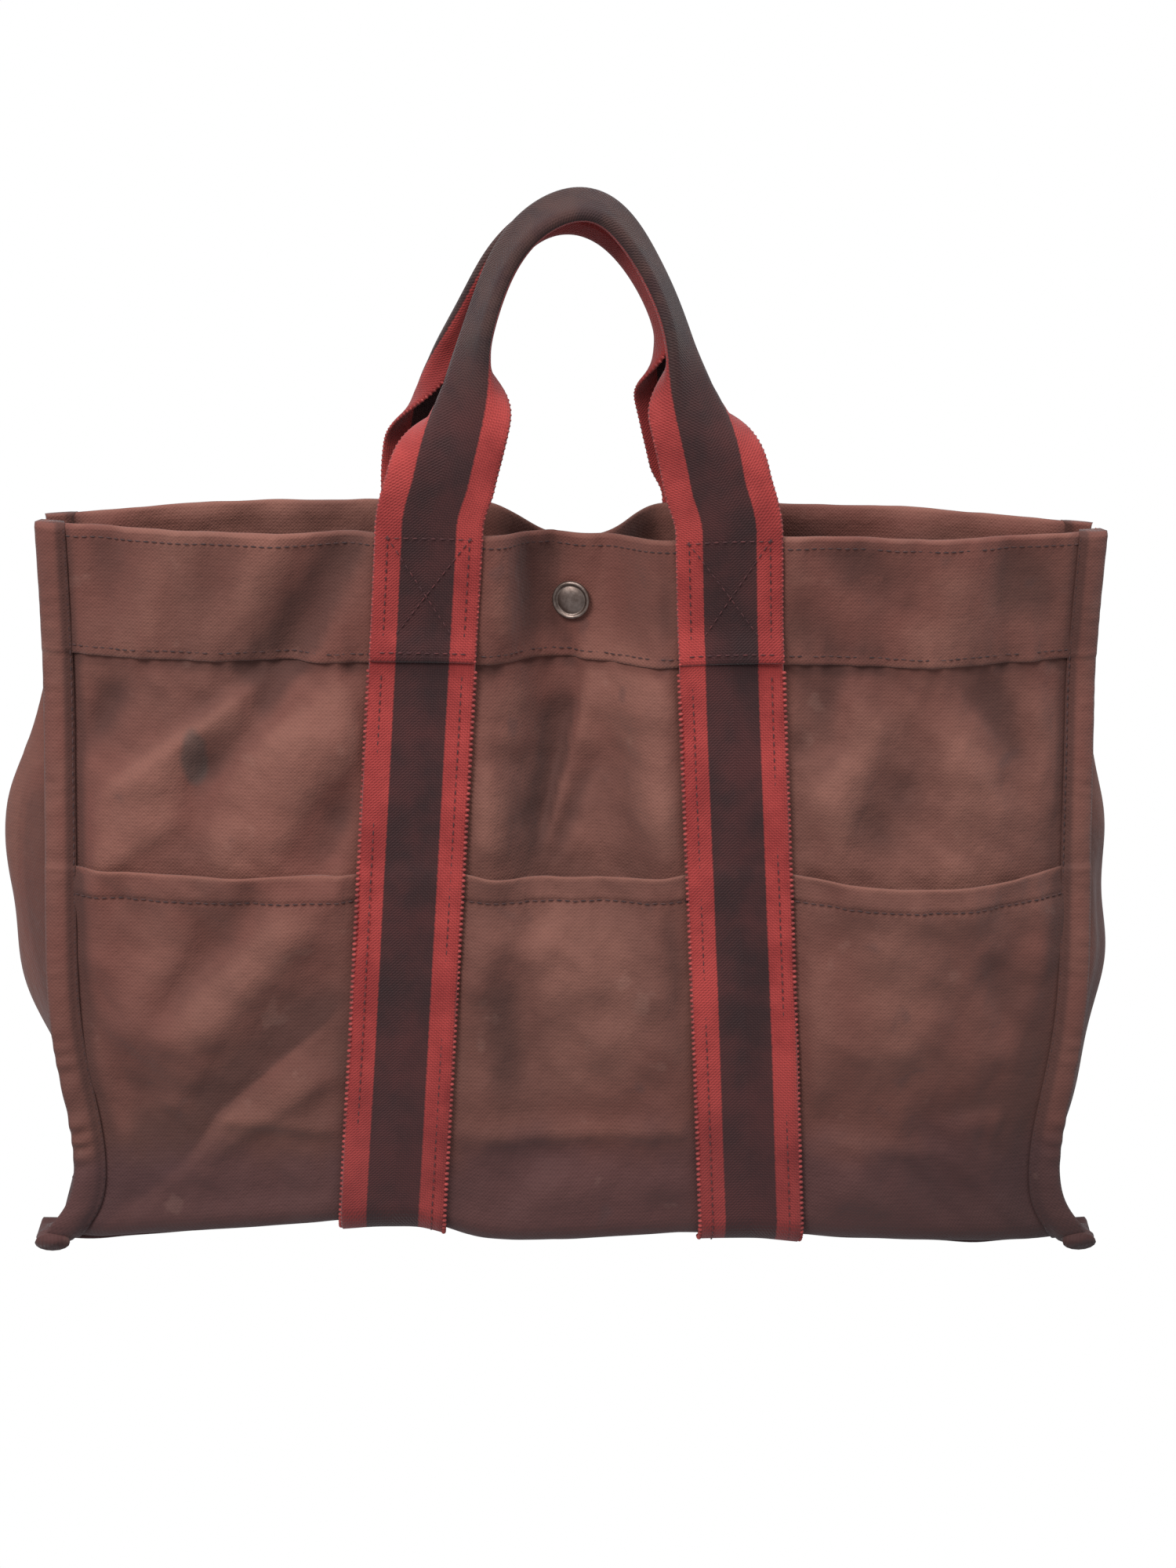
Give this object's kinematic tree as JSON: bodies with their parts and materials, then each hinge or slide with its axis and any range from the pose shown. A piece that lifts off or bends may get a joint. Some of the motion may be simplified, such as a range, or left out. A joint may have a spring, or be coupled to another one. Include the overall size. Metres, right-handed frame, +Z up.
{
  "type": "canvas tool tote",
  "caption": "Open canvas tote for tools, with divided outer pockets on both walls, striped webbing straps and folded carry handles, and a centre snap that draws the mouth together.",
  "frame": {"origin": "middle of the bag's underside, on the ground", "axes": "+X to the bag's right seen from the front, -Y out of the front wall that carries the snap cap, +Z up"},
  "size_m": [0.4612, 0.1396, 0.3982],
  "materials": {
    "canvas": "worn brown cotton canvas",
    "striped_webbing": "twill cotton webbing, red edges and a dark plum middle",
    "aged_metal": "aged nickel",
    "spring_steel": "bright wire"
  },
  "bodies": {
    "root": {"base_panel": "canvas", "left_base_seam": "canvas", "right_base_seam": "canvas", "left_base_strap": "striped_webbing", "right_base_strap": "striped_webbing", "left_gusset": "canvas", "right_gusset": "canvas", "left_gusset_band": "canvas", "right_gusset_band": "canvas"},
    "front_wall": {"front_panel": "canvas", "front_top_band": "canvas", "front_pocket_panel": "canvas", "front_left_seam": "canvas", "front_left_strap": "striped_webbing", "front_left_handle_tab": "striped_webbing", "front_right_seam": "canvas", "front_right_strap": "striped_webbing", "front_right_handle_tab": "striped_webbing", "snap_cap": "aged_metal", "snap_socket": "aged_metal", "snap_spring": "spring_steel"},
    "back_wall": {"back_panel": "canvas", "back_top_band": "canvas", "back_pocket_panel": "canvas", "back_left_seam": "canvas", "back_left_strap": "striped_webbing", "back_left_handle_tab": "striped_webbing", "back_right_seam": "canvas", "back_right_strap": "striped_webbing", "back_right_handle_tab": "striped_webbing", "snap_stud": "aged_metal", "snap_back_cap": "aged_metal"},
    "front_handle": {"front_handle": "striped_webbing"},
    "back_handle": {"back_handle": "striped_webbing"}
  },
  "joints": [
    {"name": "front_wall_open", "type": "hinge", "parent": "root", "child": "front_wall", "pos_m": [0, -0.0698, 0.0046], "axis": [1, 0, 0], "range_deg": [0, 13]},
    {"name": "back_wall_open", "type": "hinge", "parent": "root", "child": "back_wall", "pos_m": [0, 0.0698, 0.0046], "axis": [-1, 0, 0], "range_deg": [0, 13]},
    {"name": "front_handle_swing", "type": "hinge", "parent": "front_wall", "child": "front_handle", "pos_m": [0, -0.0331, 0.2742], "axis": [1, 0, 0], "range_deg": [0, 170]},
    {"name": "back_handle_swing", "type": "hinge", "parent": "back_wall", "child": "back_handle", "pos_m": [0, 0.0331, 0.2742], "axis": [-1, 0, 0], "range_deg": [0, 170]}
  ]
}
